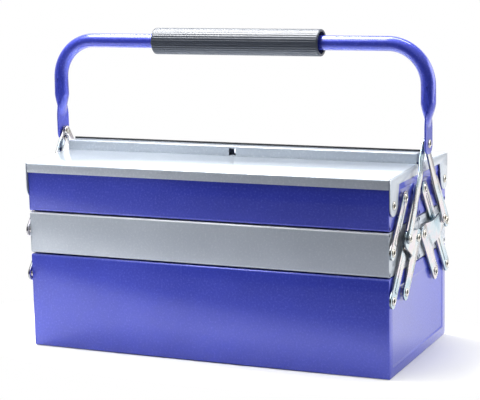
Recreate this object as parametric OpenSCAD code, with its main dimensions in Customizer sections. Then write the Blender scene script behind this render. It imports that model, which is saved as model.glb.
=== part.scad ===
// Cantilever tool box: a bottom box, two middle trays, two top trays with lids,
// and a carrying handle whose tie bars open and close the trays.
// X runs along the length, -Y is the front, +Z is up, and the origin is the
// bottom centre. All lengths are in millimetres.

/* [Box and trays] */
// Length over the end panels
box_length = 420; // [340:1:520]
// Depth of the closed box, front to rear
box_depth = 200; // [196:1:230]
// Height of the bottom box
bottom_height = 105.8; // [102:0.1:130]
// Height of a middle tray
middle_height = 46.6; // [45:0.1:49]
// Height of a top tray
top_height = 51.7; // [50:0.1:60]
// Gap between a tray and the one below it
stack_gap = 1; // [0.5:0.1:2]
// Gap between the front trays and the rear trays
split_gap = 0.8; // [0.5:0.1:3]
// Thickness of the sheet that the box, trays and lids are folded from
sheet = 1; // [0.6:0.1:1.4]
// Outside radius of the folds under the box and trays
fold_radius = 2; // [1.5:0.1:4]
// Radius of the rolled hem along the top of a wall
hem_radius = 1.5; // [1.2:0.1:2]

/* [End panels] */
// Width of the flat border around the pressed field of an end panel
border_width = 8.5; // [6:0.5:11]
// Corner radius of the pressed field
field_corner = 2.5; // [1:0.5:5]
// Depth of the pressed field
field_depth = 0.7; // [0.3:0.1:0.9]
// Radius of the relief holes at the corners of a tray's end panel
relief_radius = 1.3; // [0.8:0.1:1.6]
// Distance of a relief hole's centre from the panel's edges
relief_inset = 3; // [2.5:0.1:4]

/* [Lids] */
// Gap between a lid's skirt and the tray wall
skirt_gap = 0.6; // [0.4:0.1:1.2]
// Gap between a lid's end flange and the tray's end panel
end_flange_gap = 1.2; // [0.8:0.1:1.6]
// Height of the skirt below the lid's edge
skirt_height = 10.5; // [8:0.5:14]
// Height of a lid's end flange below the lid's edge
end_flange_height = 8.4; // [6:0.1:12]
// Gap between a top tray's rim and its lid
lid_gap = 1.2; // [1:0.1:2]
// Rise of a lid from its outer edge to its upstand
lid_rise = 3; // [1:0.5:6]
// Height of the front lid's upstand above the lid
upstand_height = 10.8; // [10:0.1:14]
// Distance of the upstands from the middle
upstand_offset = 7.8; // [7:0.1:10]
// Gap between the front lid's lip and the rear lid's upstand
lip_gap = 0.6; // [0.4:0.1:1]
// Height of the black edge strip
edge_strip_height = 1; // [0.8:0.1:2]
// Width of the padlock hole
padlock_width = 8.5; // [6:0.5:10]
// Height of the padlock hole
padlock_height = 7.5; // [5:0.5:8]
// Place of the padlock hole along the length
padlock_x = -2.5; // [-20:0.5:20]
// Distance of a lid hinge from the outer face of its tray
hinge_inset = 9.8; // [9:0.1:11]
// Height of a lid hinge below the lid's edge
hinge_drop = 28; // [24:0.5:34]
// Radius of a lid ear's round end
ear_radius = 11.4; // [9:0.1:11.4]
// Width of a lid ear where it leaves the end flange
ear_width = 29; // [24:1:40]

/* [Linkage] */
// Distance of a lever's top pivot from the middle plane
lever_top_y = 12; // [10:0.5:14]
// Distance of a crank's top pivot from the middle plane
crank_top_y = 11; // [10:0.5:13]
// Rise of a closed link from pivot to pivot
link_rise = 50; // [49:0.5:51]
// Distance of a lever's lowest pivot from the side of the box
lever_inset = 4; // [4:0.5:6]
// Height of the lowest pivots
pivot_z = 82.5; // [80:0.5:86]
// Distance of a tie bar's pivot on the crank outwards of the crank's lowest pivot
tie_run = 9.4; // [7:0.2:12]
// Height of a tie bar's pivot on the crank above the crank's lowest pivot
tie_rise = 59; // [57:0.5:61]
// Width of the straight levers
lever_width = 16; // [13:0.5:17]
// Width of the upper links
upper_link_width = 15; // [12:0.5:17]
// Width of a crank's lower arm
crank_width = 17; // [14:0.5:18]
// Width of a tie bar
bar_width = 11; // [10:0.5:13]
// Thickness of the plated links
link_plate = 2; // [1.5:0.1:2.2]
// Height of the rib pressed along a straight link
rib_height = 0.6; // [0.3:0.1:0.8]
// Width of the rib
rib_width = 5; // [3:0.5:6]

/* [Rivets] */
// Radius of a rivet's shank
shank_radius = 2.6; // [2.2:0.1:2.8]
// Radius of a rivet's head
head_radius = 4.6; // [4:0.1:5]
// Height of a rivet's head
head_height = 1.2; // [0.8:0.1:1.3]
// Radial clearance of a shank in its hole
running_clearance = 0.05; // [0.02:0.01:0.1]

/* [Handle] */
// Height of the handle's pivot above the floor
handle_pivot_z = 232; // [228:1:240]
// Height of the handle tube's centre above the pivot
handle_rise = 105; // [100:1:130]
// Radius of the handle tube
tube_radius = 8; // [6.5:0.5:9]
// Wall thickness of the handle tube
tube_wall = 1.4; // [1:0.1:2]
// Centreline radius of the handle's bends
handle_bend = 44; // [35:1:50]
// Width of the flattened end of the handle
flat_width = 25; // [22:0.5:26]
// Thickness of the flattened end of the handle
flat_thickness = 2; // [1.6:0.1:2.6]
// Length of the flattened end above the pivot
flat_length = 28; // [24:1:34]
// Length over which the tube turns from round to flat
flat_blend = 24; // [16:1:30]

/* [Grip] */
// Length of the grip
grip_length = 205; // [150:1:230]
// Outer radius of the grip over its ribs
grip_radius = 14; // [11:0.5:16]
// Number of ribs around the grip
grip_ribs = 32; // [16:1:40]
// Depth of the grooves between the ribs
groove_depth = 1; // [0.5:0.1:1.5]

/* [Hidden] */
$fn = 48;

FRONT = -1;
REAR = 1;
LEFT = -1;
RIGHT = 1;

BLUE = [0.24, 0.25, 0.66];
GREY = [0.62, 0.65, 0.70];
ZINC = [0.82, 0.84, 0.86];
SLATE = [0.22, 0.24, 0.30];
BLACK = [0.05, 0.05, 0.06];

// Wall of a rolled hem, thinned where it is rolled
hem_wall = 0.6;
// Small overlap that keeps a cut from ending flush with a face
cut = 0.5;
// Axial play on each side of a link on its rivet
play = 0.05;
// Length of a rivet's upset tail, and how far it spreads beyond the shank
tail_length = 1;
tail_spread = 0.35;
// Radius of the shoulder that holds a link off its panel
shoulder_radius = head_radius - 0.6;
// Radius and depth of the hollow in a rivet's head
hollow_radius = 2;
hollow_depth = 0.7;
// Height of the domed part of a rivet's head
dome_height = 0.7;
// Height of each tray's bottom, and of the top trays' rims
middle_z = bottom_height + stack_gap;
top_z = middle_z + middle_height + stack_gap;
rim_z = top_z + top_height;
half_depth = box_depth / 2;
shell_length = box_length - 2 * sheet;

// Distances outboard of an end panel: the links' layer, the crank's raised arm,
// the tie bars at the cranks and at the handle, and the flat of the handle
link_layer = 1.4;
crank_arm_layer = 6.2;
bar_low_layer = 8.6;
bar_inner_layer = 5.6;
layer_gap = 0.2;
bar_outer_layer = bar_inner_layer + link_plate + layer_gap;
flat_layer = bar_outer_layer + link_plate + layer_gap;
tube_axis_layer = flat_layer + flat_thickness / 2;

// Lid sizes: outer face of the skirt, and heights of the edge and of the upstands' foot
skirt_y = half_depth + skirt_gap + sheet;
lid_edge_z = rim_z + lid_gap + sheet;
upstand_foot_z = lid_edge_z + lid_rise;
lip_z = upstand_foot_z + upstand_height;
lid_half_length = box_length / 2 + end_flange_gap + sheet;
hinge_y = half_depth - hinge_inset;
hinge_z = lid_edge_z - hinge_drop;
lip_reach = upstand_offset - sheet / 2;
rear_upstand_y = lip_reach + lip_gap + sheet;
// Height of the rear upstand above the front lid's lip
crest_rise = 0.8;
// Height of the padlock hole's foot above the lid
padlock_foot = 0.8;
// Part of a lid's top that is doubled under its upstand
lid_lap = 12;
// Side wall of the edge strip, and how far the strip grips the sheet
strip_wall = 0.25;
strip_grip = 0.6;

// Pivots as [distance from the middle plane, height]
lever_pivot = [half_depth - lever_inset, pivot_z];
link_run = (lever_pivot[0] - lever_top_y) / 2;
link_vector = [-link_run, link_rise];
crank_pivot = [crank_top_y + link_run, pivot_z];
lever_middle = lever_pivot + link_vector;
lever_top = lever_pivot + 2 * link_vector;
crank_top = crank_pivot + link_vector;
upper_link_foot = lever_pivot + [0, link_rise];
upper_link_top = upper_link_foot + link_vector;
tie_pivot = crank_pivot + [tie_run, tie_rise];
handle_pivot = [0, handle_pivot_z];
lid_hinge = [hinge_y, hinge_z];
link_length = norm(link_vector);
bar_length = norm(tie_pivot - handle_pivot);

// Where the tie bars are joggled, from the handle's pivot
first_joggle = [20, 35];
second_joggle = [63, 78];
// Where the crank is joggled, from the line through its two lower pivots
crank_joggle = [12, 22];

function unit(v) = v / norm(v);
function left_of(v) = [-v[1], v[0]];

// The tangent point on a circle from a point outside it, on one side of the line to its centre
function tangent_from(p, centre, r, side) =
    let(v = p - centre, a = atan2(v[1], v[0]) + side * acos(r / norm(v)))
    centre + r * [cos(a), sin(a)];

// Points of the arc that rounds the corner p1 of a path from p0 to p2
function corner_arc(p0, p1, p2, r, steps) =
    let(a = unit(p0 - p1), b = unit(p2 - p1), half = acos(a * b) / 2,
        c = p1 + unit(a + b) * r / sin(half),
        s = p1 + a * r / tan(half) - c, e = p1 + b * r / tan(half) - c,
        a0 = atan2(s[1], s[0]), turn = atan2(s[0] * e[1] - s[1] * e[0], s * e))
    [for (i = [0:steps]) c + r * [cos(a0 + turn * i / steps), sin(a0 + turn * i / steps)]];

// A path with each of its inner corners rounded
function rounded_path(path, r, steps = 4) =
    concat([path[0]],
        [for (i = [1:len(path) - 2]) each corner_arc(path[i - 1], path[i], path[i + 1], r, steps)],
        [path[len(path) - 1]]);

// A point of a path moved to its left by a distance, mitred at the bends
function mitred(path, i, d) =
    let(last = len(path) - 1,
        a = i > 0 ? unit(path[i] - path[i - 1]) : unit(path[1] - path[0]),
        b = i < last ? unit(path[i + 1] - path[i]) : a,
        m = unit(left_of(a) + left_of(b)))
    path[i] + m * d / (m * left_of(a));

// The outline of a bent sheet: its path and the same path a thickness to the left
function bent_sheet(path, t) =
    concat(path, [for (i = [len(path) - 1:-1:0]) mitred(path, i, t)]);

// Everything for a front half is drawn for the rear and mirrored
module on_half(half) {
    if (half == FRONT) mirror([0, 1, 0]) children();
    else children();
}

// Reach of a hole through an end panel to either side of its outer face
panel_cut = 2 * (sheet + field_depth);

// Puts a drawing on an end of the box: its x runs to the rear, its y up and its z outwards
module on_end(end) {
    if (end == LEFT) mirror([1, 0, 0]) on_right_end() children();
    else on_right_end() children();
}

module on_right_end() {
    translate([box_length / 2, 0, 0]) rotate([90, 0, 90]) children();
}

// Extrudes a cross-section drawn in Y and Z along the length, centred
module along_length(length) {
    rotate([90, 0, 90]) linear_extrude(height = length, center = true) children();
}

// A bar with round ends between two points
module slot(a, b, width) {
    v = b - a;
    translate(a) rotate(atan2(v[1], v[0])) {
        translate([0, -width / 2]) square([norm(v), width]);
        circle(d = width);
        translate([norm(v), 0]) circle(d = width);
    }
}

// A rectangle from one corner to the other with its lower and upper corners rounded
module rounded_outline(low, high, low_r, high_r) {
    size = high - low;
    translate(low) {
        translate([0, low_r]) square([size[0], size[1] - low_r - high_r]);
        translate([low_r, 0]) square([size[0] - 2 * low_r, size[1] / 2]);
        translate([high_r, size[1] / 2]) square([size[0] - 2 * high_r, size[1] / 2]);
        for (y = [low_r, size[0] - low_r]) translate([y, low_r]) circle(low_r);
        for (y = [high_r, size[0] - high_r]) translate([y, size[1] - high_r]) circle(high_r);
    }
}

// Cross-section of a folded tray: floor, two walls and a rolled hem on each wall
module tray_section(low, high) {
    inner_low = low + [sheet, sheet];
    inner_high = [high[0] - sheet, high[1] - sheet];
    difference() {
        rounded_outline(low, high, fold_radius, hem_radius);
        rounded_outline(inner_low, inner_high, fold_radius - sheet, fold_radius - sheet);
        translate([low[0] + hem_radius, high[1] - hem_radius])
            square([high[0] - low[0] - 2 * hem_radius, hem_radius + cut]);
    }
    for (y = [low[0] + hem_radius, high[0] - hem_radius])
        translate([y, high[1] - hem_radius]) difference() {
            circle(hem_radius);
            circle(hem_radius - hem_wall);
        }
}

module tray_shell(low, high) {
    along_length(shell_length) tray_section(low, high);
}

// A pressed end panel with a recessed field, a hem along its top and holes for its rivets
module end_panel(low, high, field_low, field_high, pivots, relief) {
    difference() {
        union() {
            translate([0, 0, -sheet]) linear_extrude(height = sheet) difference() {
                rounded_outline(low, high, fold_radius, hem_radius);
                field_outline(field_low, field_high, 0);
            }
            translate([0, 0, -sheet - field_depth]) linear_extrude(height = sheet + field_depth)
                difference() {
                    field_outline(field_low, field_high, sheet);
                    field_outline(field_low, field_high, 0);
                }
            translate([0, 0, -sheet - field_depth]) linear_extrude(height = sheet)
                field_outline(field_low, field_high, 0);
        }
        for (p = pivots)
            translate([p[0], p[1], -panel_cut])
                cylinder(r = shank_radius + running_clearance, h = 2 * panel_cut);
        if (relief)
            for (y = [low[0] + relief_inset, high[0] - relief_inset],
                 z = [low[1] + relief_inset, high[1] - relief_inset])
                translate([y, z, -panel_cut]) cylinder(r = relief_radius, h = 2 * panel_cut);
    }
}

// The pressed field of an end panel, made larger by an amount on each side
module field_outline(low, high, grow) {
    r = field_corner + grow;
    rounded_outline(low - [grow, grow], high + [grow, grow], r, r);
}

// Extra border above the pressed field of the bottom box and round that of a top tray
field_lift = 3.5;

// The bottom box
box_low = [-half_depth, 0];
box_high = [half_depth, bottom_height];
box_field_low = box_low + [border_width, border_width];
box_field_high = box_high - [border_width, border_width + field_lift];

module bottom_box_shell() {
    color(BLUE) tray_shell(box_low, box_high);
}

module bottom_box_end(end) {
    pivots = [for (p = [lever_pivot, crank_pivot], s = [FRONT, REAR]) [s * p[0], p[1]]];
    color(BLUE) on_end(end)
        end_panel(box_low, box_high, box_field_low, box_field_high, pivots, false);
}

// The trays, drawn for the rear half
tray_near = split_gap / 2;
// Border between the trays' meeting sides and their fields, clear of the rivet shoulders there
meeting_border = crank_top_y - tray_near - shoulder_radius - running_clearance;
middle_low = [tray_near, middle_z];
middle_high = [half_depth, middle_z + middle_height];
middle_field_low = middle_low + [meeting_border, border_width];
middle_field_high = middle_high - [border_width, border_width];
top_low = [tray_near, top_z];
top_high = [half_depth, rim_z];
top_field_low = top_low + [meeting_border, border_width + field_lift];
top_field_high = top_high - [border_width, border_width + field_lift];

module middle_tray_shell(half) {
    color(GREY) on_half(half) tray_shell(middle_low, middle_high);
}

module middle_tray_end(half, end) {
    color(GREY) on_half(half) on_end(end)
        end_panel(middle_low, middle_high, middle_field_low, middle_field_high,
            [lever_middle, crank_top, upper_link_foot], true);
}

module top_tray_shell(half) {
    color(BLUE) on_half(half) tray_shell(top_low, top_high);
}

module top_tray_end(half, end) {
    color(BLUE) on_half(half) on_end(end)
        end_panel(top_low, top_high, top_field_low, top_field_high,
            [lever_top, upper_link_top, lid_hinge], true);
}

// An end flange with the ear that hangs from its outer corner to the hinge
module lid_end_flange(upstand_y) {
    inner_top = [skirt_y - ear_width, lid_edge_z - end_flange_height];
    outer_top = [skirt_y, lid_edge_z - end_flange_height];
    inner_touch = tangent_from(inner_top, lid_hinge, ear_radius, 1);
    outer_touch = tangent_from(outer_top, lid_hinge, ear_radius, -1);
    difference() {
        union() {
            polygon([
                [upstand_y, upstand_foot_z - sheet / 2],
                [upstand_y, lid_edge_z - end_flange_height + 1],
                inner_top, outer_top,
                [skirt_y, lid_edge_z - sheet]
            ]);
            polygon([inner_top, inner_touch, lid_hinge, outer_touch, outer_top]);
            translate(lid_hinge) circle(ear_radius);
        }
        translate(lid_hinge) circle(shank_radius + running_clearance);
    }
}

// The padlock hole: round above and flat at the foot of the upstand
module padlock_outline() {
    r = padlock_width / 2;
    foot = upstand_foot_z + padlock_foot;
    translate([padlock_x, foot]) {
        translate([0, padlock_height - r]) circle(r);
        translate([-r, 0]) square([padlock_width, padlock_height - r]);
    }
}

module padlock_hole() {
    rotate([90, 0, 0]) linear_extrude(height = 4 * upstand_offset, center = true)
        padlock_outline();
}

// A lid: skirt and top as one bent sheet, then its upstand, which ends short of the
// end flanges, with both end flanges. The crest is the path above the upstand's foot.
module lid(half, upstand_y, crest) {
    foot = [upstand_y, upstand_foot_z];
    edge = [skirt_y, lid_edge_z];
    near_foot = foot + unit(edge - foot) * lid_lap;
    difference() {
        on_half(half) {
            along_length(2 * lid_half_length)
                sheet_section([edge - [0, skirt_height], edge, foot]);
            along_length(box_length) sheet_section(concat([near_foot, foot], crest));
            for (end = [LEFT, RIGHT])
                on_end(end) translate([0, 0, end_flange_gap]) linear_extrude(height = sheet)
                    lid_end_flange(upstand_y);
        }
        padlock_hole();
    }
}

module sheet_section(path) {
    polygon(bent_sheet(rounded_path(path, 1.6 * sheet), sheet));
}

module front_lid() {
    color(GREY) lid(FRONT, upstand_offset, [[upstand_offset, lip_z], [-lip_reach, lip_z]]);
}

module rear_lid() {
    color(GREY) lid(REAR, rear_upstand_y, [[rear_upstand_y, lip_z + crest_rise]]);
}

// The black strip that caps the rear lid's upstand
module lid_edge_strip() {
    foot = lip_z + crest_rise - strip_grip;
    color(BLACK) along_length(box_length) difference() {
        translate([rear_upstand_y - sheet - strip_wall, foot])
            square([sheet + 2 * strip_wall, edge_strip_height]);
        translate([rear_upstand_y - sheet, foot - cut]) square([sheet, strip_grip + cut]);
    }
}

// A rib pressed outwards from a plate whose inner face is at z = 0
module rib(a, b) {
    translate([0, 0, link_plate - cut]) linear_extrude(height = rib_height + cut)
        slot(a, b, rib_width);
}

module rib_back(a, b) {
    translate([0, 0, -cut]) linear_extrude(height = rib_height + cut)
        slot(a, b, rib_width - 2 * rib_height);
}

// A straight link with a hole at each pivot and a rib between each pair of holes
module straight_link(pivots, width) {
    margin = head_radius + rib_width;
    step = unit(pivots[1] - pivots[0]) * margin;
    translate([0, 0, link_layer]) difference() {
        union() {
            linear_extrude(height = link_plate) slot(pivots[0], pivots[len(pivots) - 1], width);
            for (i = [1:len(pivots) - 1]) rib(pivots[i - 1] + step, pivots[i] - step);
        }
        for (i = [1:len(pivots) - 1]) rib_back(pivots[i - 1] + step, pivots[i] - step);
        for (p = pivots) pivot_hole(p);
    }
}

module pivot_hole(p) {
    translate([p[0], p[1], -cut])
        cylinder(r = shank_radius + running_clearance, h = link_plate + 2 * cut);
}

module lever(half, end) {
    color(ZINC) on_half(half) on_end(end)
        straight_link([lever_pivot, lever_middle, lever_top], lever_width);
}

module upper_link(half, end) {
    color(ZINC) on_half(half) on_end(end)
        straight_link([upper_link_foot, upper_link_top], upper_link_width);
}

// A plate cut to an outline and joggled along x, whose inner face follows a path in x and z
module joggled_plate(path, width) {
    inner_bend = link_plate + 0.5;
    intersection() {
        linear_extrude(height = flat_layer + link_plate) children();
        rotate([90, 0, 0]) linear_extrude(height = width, center = true)
            polygon(bent_sheet(rounded_path(path, inner_bend, 3), link_plate));
    }
}

// The crank's outline in its own frame: x away from the lower arm, y along it
module crank_outline() {
    across = unit(left_of(-link_vector));
    along = unit(link_vector);
    function own(p) = [(p - crank_pivot) * across, (p - crank_pivot) * along];
    top = own(crank_top);
    tie = own(tie_pivot);
    arm_radius = bar_width / 2 + 2.5;
    arm_start = [crank_width / 2, 14];
    throat = [crank_width / 2 + 6, tie[1] - arm_radius + 2];
    slot([0, 0], top, crank_width);
    slot(top, tie, 2 * arm_radius);
    polygon([top, arm_start, throat, tangent_from(throat, tie, arm_radius, 1), tie]);
}

module crank(half, end) {
    across = unit(left_of(-link_vector));
    path = [[-crank_width, link_layer], [crank_joggle[0], link_layer],
        [crank_joggle[1], crank_arm_layer], [link_length, crank_arm_layer]];
    color(ZINC) on_half(half) on_end(end) difference() {
        translate([crank_pivot[0], crank_pivot[1], 0]) rotate([0, 0, atan2(across[1], across[0])])
            joggled_plate(path, 4 * link_length) crank_outline();
        for (p = [crank_pivot, crank_top, tie_pivot])
            translate([p[0], p[1], 0])
                cylinder(r = shank_radius + running_clearance, h = bar_low_layer);
    }
}

// A tie bar from the handle's pivot to a crank. The inner bar lies next to the box.
module tie_bar(half, end) {
    inner = half * end == FRONT * RIGHT;
    start = inner ? bar_inner_layer : bar_outer_layer;
    bends = [[first_joggle[0], start], [first_joggle[1], bar_outer_layer]];
    path = concat([[-bar_width, start]], inner ? bends : [],
        [[second_joggle[0], bar_outer_layer], [second_joggle[1], bar_low_layer],
         [bar_length + bar_width, bar_low_layer]]);
    lean = tie_pivot - handle_pivot;
    color(ZINC) on_half(half) on_end(end)
        translate([handle_pivot[0], handle_pivot[1], 0])
        rotate([0, 0, atan2(lean[1], lean[0])]) {
            difference() {
                joggled_plate(path, 2 * bar_width) slot([0, 0], [bar_length, 0], bar_width);
                translate([bar_length, 0, 0])
                    cylinder(r = shank_radius + running_clearance, h = 2 * bar_low_layer);
                if (half == REAR)
                    cylinder(r = shank_radius + running_clearance, h = 2 * bar_low_layer);
            }
            if (half == FRONT && inner) translate([0, 0, bar_inner_layer - head_height])
                cylinder(r = head_radius, h = head_height + cut);
        }
}

// A shouldered rivet: tail behind a panel, shoulder in front of it, shank through a link, head
module rivet(p, seat, panel, shoulder, link) {
    translate([p[0], p[1], seat]) {
        translate([0, 0, -panel - tail_length])
            cylinder(r = shank_radius + tail_spread, h = tail_length);
        translate([0, 0, -panel - cut])
            cylinder(r = shank_radius, h = panel + shoulder + link + 2 * play + cut);
        cylinder(r = shoulder_radius, h = shoulder - play);
        translate([0, 0, shoulder + link + play]) rivet_head();
    }
}

// A domed head with a hollow centre
module rivet_head() {
    edge = head_height - dome_height;
    difference() {
        union() {
            cylinder(r = head_radius, h = edge);
            translate([0, 0, edge]) rotate_extrude() polygon(concat([[0, 0]],
                [for (a = [0:15:90]) [head_radius * cos(a), dome_height * sin(a)]]));
        }
        translate([0, 0, head_height - hollow_depth]) cylinder(r = hollow_radius, h = head_height);
    }
}

module bottom_box_rivets() {
    color(ZINC) for (half = [FRONT, REAR], end = [LEFT, RIGHT]) on_half(half) on_end(end) {
        rivet(lever_pivot, 0, sheet, link_layer, link_plate);
        rivet(crank_pivot, -field_depth, sheet, link_layer + field_depth, link_plate);
    }
}

module middle_rivets(half) {
    color(ZINC) for (end = [LEFT, RIGHT]) on_half(half) on_end(end) {
        rivet(upper_link_foot, 0, sheet, link_layer, link_plate);
        rivet(lever_middle, -field_depth, sheet, link_layer + field_depth, link_plate);
        rivet(crank_top, -field_depth, sheet, link_layer + field_depth, link_plate);
    }
}

module top_rivets(half) {
    color(ZINC) for (end = [LEFT, RIGHT]) on_half(half) on_end(end) {
        rivet(lid_hinge, 0, sheet + field_depth, end_flange_gap, sheet);
        rivet(lever_top, -field_depth, sheet, link_layer + field_depth, link_plate);
        rivet(upper_link_top, -field_depth, sheet, link_layer + field_depth, link_plate);
    }
}

// Rivets that join the tie bars to the cranks
module crank_rivets(half) {
    color(ZINC) for (end = [LEFT, RIGHT]) on_half(half) on_end(end)
        rivet(tie_pivot, crank_arm_layer + link_plate, link_plate,
            bar_low_layer - crank_arm_layer - link_plate, link_plate);
}

// Rivets that carry the handle on the rear tie bars. The left one is in two parts,
// one on each side of the front tie bar.
module handle_rivets() {
    flat_face = flat_layer + flat_thickness;
    color(ZINC) {
        on_end(RIGHT) translate([0, handle_pivot_z, 0]) {
            translate([0, 0, bar_outer_layer - play])
                cylinder(r = shank_radius, h = flat_face - bar_outer_layer + 2 * play + cut);
            translate([0, 0, flat_face + play]) rivet_head();
        }
        on_end(LEFT) translate([0, handle_pivot_z, 0]) {
            translate([0, 0, bar_inner_layer - head_height - play])
                cylinder(r = head_radius, h = head_height);
            translate([0, 0, bar_inner_layer - 2 * play])
                cylinder(r = shank_radius, h = link_plate + 3 * play);
            translate([0, 0, flat_layer - play])
                cylinder(r = shank_radius, h = flat_thickness + 2 * play + cut);
            translate([0, 0, flat_face + play]) rivet_head();
        }
    }
}

// Plain length at each end of the grip, and its wall
collar = 2.5;
collar_wall = 1.6;

// The bent tube: two legs, two bends and the top run, drawn in X and Z
leg_x = box_length / 2 + tube_axis_layer;
tube_z = handle_pivot_z + handle_rise;
round_z = handle_pivot_z + flat_length + flat_blend;

module tube_run(r) {
    translate([-leg_x + handle_bend, 0, tube_z]) rotate([0, 90, 0])
        cylinder(r = r, h = 2 * (leg_x - handle_bend));
    for (end = [LEFT, RIGHT]) on_side(end) {
        translate([leg_x - handle_bend, 0, tube_z - handle_bend]) rotate([90, 0, 0])
            rotate_extrude(angle = 90, $fn = 64) translate([handle_bend, 0]) circle(r);
        translate([leg_x, 0, round_z]) cylinder(r = r, h = tube_z - handle_bend - round_z);
    }
}

module on_side(end) {
    if (end == LEFT) mirror([1, 0, 0]) children();
    else children();
}

// The flattened end of a leg with its pivot hole
module flat_end() {
    flat_z = handle_pivot_z + flat_length;
    corner = 9;
    drop = 10.5;
    seam = 0.4;
    flat_x = box_length / 2 + flat_layer;
    difference() {
        union() {
            hull() {
                translate([leg_x, 0, round_z]) cylinder(r = tube_radius, h = seam);
                translate([flat_x, -flat_width / 2, flat_z])
                    cube([flat_thickness, flat_width, seam]);
            }
            translate([flat_x, 0, 0]) rotate([90, 0, 90]) linear_extrude(height = flat_thickness) {
                low = handle_pivot_z - drop;
                translate([-flat_width / 2, low + corner])
                    square([flat_width, flat_z + seam - low - corner]);
                translate([-flat_width / 2 + corner, low])
                    square([flat_width - 2 * corner, corner + cut]);
                for (s = [-1, 1]) translate([s * (flat_width / 2 - corner), low + corner])
                    circle(corner);
            }
        }
        translate([flat_x - cut, 0, handle_pivot_z]) rotate([0, 90, 0])
            cylinder(r = shank_radius + running_clearance, h = flat_thickness + 2 * cut);
    }
}

module handle_tube() {
    color(BLUE) {
        difference() {
            tube_run(tube_radius);
            tube_run(tube_radius - tube_wall);
        }
        for (end = [LEFT, RIGHT]) on_side(end) flat_end();
    }
}

// Outline of the ribbed grip: each rib has a flat crest and a narrow groove beside it
function grip_outline() = [
    for (i = [0:grip_ribs - 1], k = [[0, 0], [0.5, 0], [0.65, 1], [0.85, 1]])
        let(a = 360 * (i + k[0]) / grip_ribs, r = grip_radius - k[1] * groove_depth)
        r * [cos(a), sin(a)]
];

module handle_grip() {
    bore = tube_radius + running_clearance;
    core_radius = grip_radius - groove_depth;
    color(SLATE) translate([0, 0, tube_z]) rotate([0, 90, 0]) difference() {
        union() {
            linear_extrude(height = grip_length - 2 * collar, center = true) polygon(grip_outline());
            cylinder(r = core_radius, h = grip_length, center = true);
        }
        cylinder(r = bore, h = grip_length + 2 * cut, center = true);
        for (s = [-1, 1]) translate([0, 0, s * grip_length / 2])
            cylinder(r = core_radius - collar_wall, h = 2 * collar, center = true);
    }
}

bottom_box_shell();
bottom_box_end(LEFT);  // bottom_box_left_end
bottom_box_end(RIGHT);  // bottom_box_right_end
middle_tray_shell(FRONT);  // front_middle_tray_shell
middle_tray_end(FRONT, LEFT);  // front_middle_tray_left_end
middle_tray_end(FRONT, RIGHT);  // front_middle_tray_right_end
middle_tray_shell(REAR);  // rear_middle_tray_shell
middle_tray_end(REAR, LEFT);  // rear_middle_tray_left_end
middle_tray_end(REAR, RIGHT);  // rear_middle_tray_right_end
top_tray_shell(FRONT);  // front_top_tray_shell
top_tray_end(FRONT, LEFT);  // front_top_tray_left_end
top_tray_end(FRONT, RIGHT);  // front_top_tray_right_end
top_tray_shell(REAR);  // rear_top_tray_shell
top_tray_end(REAR, LEFT);  // rear_top_tray_left_end
top_tray_end(REAR, RIGHT);  // rear_top_tray_right_end
front_lid();
rear_lid();
lid_edge_strip();
lever(FRONT, LEFT);  // front_left_lever
lever(FRONT, RIGHT);  // front_right_lever
lever(REAR, LEFT);  // rear_left_lever
lever(REAR, RIGHT);  // rear_right_lever
crank(FRONT, LEFT);  // front_left_crank
crank(FRONT, RIGHT);  // front_right_crank
crank(REAR, LEFT);  // rear_left_crank
crank(REAR, RIGHT);  // rear_right_crank
upper_link(FRONT, LEFT);  // front_left_upper_link
upper_link(FRONT, RIGHT);  // front_right_upper_link
upper_link(REAR, LEFT);  // rear_left_upper_link
upper_link(REAR, RIGHT);  // rear_right_upper_link
tie_bar(FRONT, LEFT);  // front_left_tie_bar
tie_bar(FRONT, RIGHT);  // front_right_tie_bar
tie_bar(REAR, LEFT);  // rear_left_tie_bar
tie_bar(REAR, RIGHT);  // rear_right_tie_bar
bottom_box_rivets();
middle_rivets(FRONT);  // front_middle_rivets
middle_rivets(REAR);  // rear_middle_rivets
top_rivets(FRONT);  // front_top_rivets
top_rivets(REAR);  // rear_top_rivets
crank_rivets(FRONT);  // front_crank_rivets
crank_rivets(REAR);  // rear_crank_rivets
handle_rivets();
handle_tube();
handle_grip();
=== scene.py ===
"""Cantilever tool box: folded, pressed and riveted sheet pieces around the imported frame.

Pieces are drawn in millimetres and made metres when they are finished. On an end of
the box, a drawing's x runs outwards from the middle plane, its y up and its z outboard.
"""
import math

import bmesh
import bpy
from mathutils import Matrix, Vector


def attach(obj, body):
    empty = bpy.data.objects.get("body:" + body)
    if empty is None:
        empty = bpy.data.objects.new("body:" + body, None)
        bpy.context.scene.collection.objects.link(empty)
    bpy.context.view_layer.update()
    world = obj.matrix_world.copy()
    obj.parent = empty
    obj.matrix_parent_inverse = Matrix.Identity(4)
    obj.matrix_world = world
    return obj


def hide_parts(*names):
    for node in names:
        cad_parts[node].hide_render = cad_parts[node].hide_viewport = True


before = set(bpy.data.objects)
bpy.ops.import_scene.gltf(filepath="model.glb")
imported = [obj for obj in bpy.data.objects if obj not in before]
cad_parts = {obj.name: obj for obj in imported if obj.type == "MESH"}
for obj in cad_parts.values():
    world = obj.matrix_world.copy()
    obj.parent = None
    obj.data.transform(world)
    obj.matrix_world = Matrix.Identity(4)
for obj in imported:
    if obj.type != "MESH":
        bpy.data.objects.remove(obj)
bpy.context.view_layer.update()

MM = 0.001
TOUCHING = 1e-3
FRONT, REAR, LEFT, RIGHT = -1, 1, -1, 1
HALVES = {"front": FRONT, "rear": REAR}
ENDS = {"left": LEFT, "right": RIGHT}

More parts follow.
